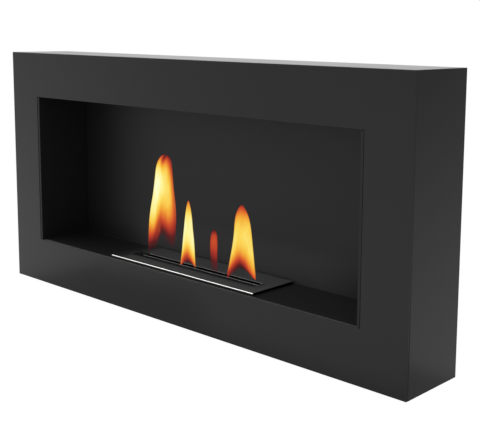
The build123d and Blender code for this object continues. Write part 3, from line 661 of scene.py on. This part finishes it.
# ---- Damper knob ----------------------------------------------------------------------------------
# Turned stainless knob on the damper's ear, dark and dull from the heat beside the flames.
knob_steel = finish(
    "knob_steel",
    ground,
    {"Colour": (0.12, 0.115, 0.115, 1.0), "Heat Colour": (0.038, 0.034, 0.033, 1.0), "Heat": 0.9, "Soot": 0.7,
     "Gloss Roughness": 0.38},
    {},
    relief=0.00001,
)
dress(knob_steel, "damper_knob")


# ---- Flames ---------------------------------------------------------------------------------------
# Four alcohol flames stand in the slot. Each is a thin closed skin, wider than deep, arched at its
# foot; it is dark red and thin at the foot, the sides and the tip, and yellow to near white inside.
# They ride on the burner.
flame_around = 72  # points round a flame
flame_up = 120  # and from its foot to its tip
flame_foot = rim_level - 0.0016
rim_clearance = 0.0018  # lift of the foot where it licks over the slot's near rim
lick_top = 0.035  # height above the foot where the lick ends
flame_depth = 0.13  # as a share of the width
swell_share = 0.07  # share of the height over which a flame takes on its depth
ease_reach, ease_steps = 0.07, 15  # to either side, where the outlines' corners are rounded
notch_place, notch_width = -0.1, 0.30  # across, of the cooler notch in the tip
edge_cooling = 0.6  # share of the heat lost at the very edge
least_heat = 1e-4
blend = 6  # of the two rises of heat: the higher, the sharper
hottest = 0.80  # hotness at a warmth of one
flame_levels = (0.00, 0.15, 0.30, 0.45, 0.60, 0.75, 0.90, 1.00)  # shares of the height
flame_places = (-1.0, -0.85, -0.5, 0.0, 0.4, 0.8, 1.0)  # across, from the left edge to the right
flame_shapes = {
    # height, roundness of the tip, sway back, lick forwards; middle line and half width at the levels,
    # and height of the lower edge at the places, all three in millimetres
    "flame_tall": (
        (0.1800, 16.0, 0.004, 0.006),
        (-86.5, -85.3, -84.3, -83.3, -82.5, -82.4, -82.2, -78.2),
        (34.5, 35.3, 35.3, 32.8, 27.1, 23.2, 21.3, 20.5),
        (0.0, 9.0, 13.0, 43.0, 31.0, 22.0, 24.0),
    ),
    "flame_slim": (
        (0.1110, 8.0, -0.003, 0.010),
        (-19.8, -19.0, -18.2, -17.6, -17.1, -16.2, -15.5, -15.2),
        (18.4, 16.2, 14.8, 12.9, 10.5, 8.9, 6.7, 5.4),
        (0.0, 1.0, 4.5, 7.0, 6.5, 3.5, 0.0),
    ),
    "flame_low": (
        (0.0720, 12.0, 0.002, 0.004),
        (43.5, 42.5, 41.2, 40.6, 40.3, 40.2, 40.4, 41.0),
        (7.2, 8.0, 8.4, 8.9, 9.2, 8.8, 7.8, 6.4),
        (0.0, 1.0, 2.0, 3.0, 2.0, 1.0, 0.0),
    ),
    "flame_broad": (
        (0.1190, 8.0, 0.003, 0.012),
        (103.0, 103.9, 104.6, 105.0, 104.9, 103.5, 101.9, 100.9),
        (32.5, 28.4, 25.3, 22.1, 19.6, 18.2, 15.8, 10.6),
        (0.0, 1.0, 10.0, 20.5, 16.0, 8.5, 6.0),
    ),
}
flame_heats = {
    # tip: gain, head start, length, notch; foot: gain, cold height, length, warmer to the right and
    # to both sides; across: dimmer by, brightest at, width
    "flame_tall": (1.22, 0.012, 0.028, 0.012, 1.60, 0.000, 0.075, 0.000, 0.003, 0.30, -0.40, 1.10),
    "flame_slim": (1.25, 0.021, 0.034, 0.000, 1.27, -0.006, 0.034, 0.000, 0.017, 0.00, 0.00, 1.00),
    "flame_low": (0.56, 0.002, 0.007, 0.000, 0.90, -0.006, 0.055, 0.002, 0.000, 0.00, 0.00, 1.00),
    "flame_broad": (1.00, 0.013, 0.027, 0.000, 1.27, -0.004, 0.037, 0.004, 0.012, 0.04, 0.60, 0.90),
}
flame_sides = {
    # how far in from the left and right edge the flame is thin, and cool
    "flame_tall": (0.0010, 0.0012, 0.0006, 0.0036),
    "flame_slim": (0.0008, 0.0008, 0.0003, 0.0003),
    "flame_low": (0.0014, 0.0010, 0.0010, 0.0006),
    "flame_broad": (0.0010, 0.0008, 0.0004, 0.0003),
}


def eased(at, places, millimetres):
    """Metres at each value of at: straight runs between the places, averaged to round their corners."""
    steps = np.linspace(-ease_reach, ease_reach, ease_steps)
    return np.mean([np.interp(at + step, places, millimetres) for step in steps], axis=0) / 1000.0


def risen(distance, gain, length):
    """Heat after a distance from a flame's cold border: gain x (1 - exp(-distance / length))."""
    return gain * (1.0 - np.exp(-np.maximum(distance, 0.0) / length)) + least_heat


def flame_skin(name, shape, heats, sides):
    """The mesh of one flame: an angle runs round it, and a share of its height runs up it.

    Across, a point is at the middle line plus the half width times the angle's cosine. The half width
    is eased between the levels and closes at the tip as (1 - share ** roundness) ** 0.5. In depth it is
    at the slot's middle plus a share of the half width times the sine, rising from nothing at the
    lower edge, so that front and back meet there in one line. Near the foot the left side licks
    forwards over the slot's rim. Heat at each point is the lesser of two rises, from the tip down and
    from the lower edge up, blended smoothly, times a bell across. Body, how far the flame hides what
    is behind it, and heat both fade at the two sides.
    """
    (height, roundness, sway, lick), middles, halves, edges = shape
    tip_gain, head_start, tip_length, notch, *rest = heats
    foot_gain, cold, foot_length, rightward, outward, dimmer, brightest, bell = rest
    around = np.linspace(0.0, 2.0 * np.pi, flame_around, endpoint=False)
    even = np.linspace(0.0, 1.0, flame_up)
    up = 0.5 * even + 0.25 * (1.0 - np.cos(np.pi * even))
    angle, share = np.meshgrid(around, up)
    side = np.cos(angle)
    width = eased(share, flame_levels, halves) * np.sqrt(1.0 - share**roundness)
    bottom = eased(side, flame_places, edges)
    rise = bottom + (height - bottom) * share
    leftward = np.clip(-side, 0.0, 1.0) ** 1.5 * (1.0 - np.clip(rise / lick_top, 0.0, 1.0)) ** 2
    x = eased(share, flame_levels, middles) + width * side + lick * leftward
    z = flame_foot + rise + rim_clearance * np.clip(3.0 * leftward, 0.0, 1.0)
    swell = np.clip(share / swell_share, 0.0, 1.0)
    y = slot_middle + sway * share**1.5 - lick * leftward
    y = y + flame_depth * width * np.sin(angle) * swell**2 * (3.0 - 2.0 * swell)
    notched = notch * np.exp(-(((side - notch_place) / notch_width) ** 2))
    below_tip = height * (1.0 - share) + head_start - notched
    above_foot = (height - bottom) * share - cold + rightward * side + outward * side**2
    from_tip = risen(below_tip, tip_gain, tip_length)
    from_foot = risen(above_foot, foot_gain, foot_length)
    lesser = (from_tip**-blend + from_foot**-blend) ** (-1.0 / blend)
    across = 1.0 - dimmer * (1.0 - np.exp(-(((side - brightest) / bell) ** 2)))
    inside = (1.0 - np.abs(side)) * width
    thin = np.where(side < 0.0, sides[0], sides[1])
    cool = np.where(side < 0.0, sides[2], sides[3])
    heat = lesser * across * (1.0 - edge_cooling * np.exp(-inside / cool))
    fill = 1.0 - np.exp(-inside / thin)

    # Numbers of the points: the foot's row is shared by front and back, and the tip is one point.
    half_turn = flame_around // 2
    number = np.zeros((flame_up, flame_around), dtype=np.int64)
    mirrored = np.arange(flame_around)
    number[0] = np.minimum(mirrored, flame_around - mirrored)
    rings = np.arange((flame_up - 2) * flame_around).reshape(flame_up - 2, flame_around)
    number[1:-1] = half_turn + 1 + rings
    number[-1] = half_turn + 1 + rings.size
    points = np.zeros((number[-1, 0] + 1, 3))
    points[number] = np.stack((x, y, z), axis=-1)
    stored = {"warmth": np.zeros(len(points)), "body": np.zeros(len(points))}
    stored["warmth"][number] = heat
    stored["body"][number] = fill
    here, there = number, np.roll(number, -1, axis=1)
    quads = np.stack((here[:-2], there[:-2], there[1:-1], here[1:-1]), axis=-1).reshape(-1, 4)
    cap = np.stack((here[-2], there[-2], here[-1]), axis=-1)
    mesh = bpy.data.meshes.new(name)
    mesh.from_pydata(points.tolist(), [], quads.tolist() + cap.tolist())
    for label, values in stored.items():
        mesh.attributes.new(label, "FLOAT", "POINT").data.foreach_set("value", values)
    mesh.polygons.foreach_set("use_smooth", [True] * len(mesh.polygons))
    mesh.validate()
    return mesh


burning, ins, outs = group(
    "burning_vapour",
    {"Flicker": ("Float", 0.05)},
    {"Emission Color": ("Color", (0.0, 0.0, 0.0, 1.0)), "Alpha": ("Float", 1.0)},
)
flame_colours = (
    # hotness, colour
    (0.00, (0.060, 0.008, 0.014)),
    (0.24, (0.120, 0.014, 0.014)),
    (0.34, (0.376, 0.034, 0.022)),
    (0.42, (0.610, 0.080, 0.026)),
    (0.50, (0.791, 0.205, 0.032)),
    (0.58, (0.913, 0.429, 0.045)),
    (0.66, (0.973, 0.679, 0.102)),
    (0.73, (1.000, 0.871, 0.262)),
    (0.80, (1.000, 0.980, 0.515)),
    (0.90, (1.000, 0.990, 0.910)),
)
# hotness, body
flame_body = ((0.00, 0.0), (0.08, 0.12), (0.20, 0.50), (0.32, 0.85), (0.42, 1.0))
stored = add(burning, "Attribute", attribute_name="warmth").outputs["Fac"]
wisps = grain(burning, scale=90.0, detail=3.0, stretch=(1.0, 1.0, 0.25))
streaks = spread(burning, wisps, 0.3, 0.7, -1.0, 1.0)
flicker = math_node(burning, "MULTIPLY_ADD", streaks, ins["Flicker"], 1.0)
hotness = product(burning, stored, flicker, hottest)


def ramp(tree, value, stops):
    """The colour of a ColorRamp node at the value, through stops of (position, colour)."""
    node = add(tree, "ValToRGB", {"Fac": value})
    elements = node.color_ramp.elements
    elements[-1].position = stops[-1][0]
    for position, colour in stops[1:-1]:
        elements.new(position)
    for element, (position, colour) in zip(elements, stops):
        element.color = (*colour, 1.0)
    return node.outputs["Color"]


burning.links.new(ramp(burning, hotness, flame_colours), outs["Emission Color"])
grey_body = tuple((position, (value, value, value)) for position, value in flame_body)
solid = add(burning, "Attribute", attribute_name="body").outputs["Fac"]
burning.links.new(math_node(burning, "MULTIPLY", ramp(burning, hotness, grey_body), solid), outs["Alpha"])
flame_material = finish(
    "flame",
    burning,
    {"Flicker": 0.05},
    {"Base Color": (0.0, 0.0, 0.0, 1.0), "Roughness": 1.0, "Specular IOR Level": 0.0,
     "Emission Strength": 1.0},
)
for name, shape in flame_shapes.items():
    skin = flame_skin(name, shape, flame_heats[name], flame_sides[name])
    skin.materials.append(flame_material)
    flame = bpy.data.objects.new(name, skin)
    bpy.context.scene.collection.objects.link(flame)
    flame.visible_diffuse = False
    flame.visible_glossy = False
    flame.visible_shadow = False
    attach(flame, "burner")
    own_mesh(flame)
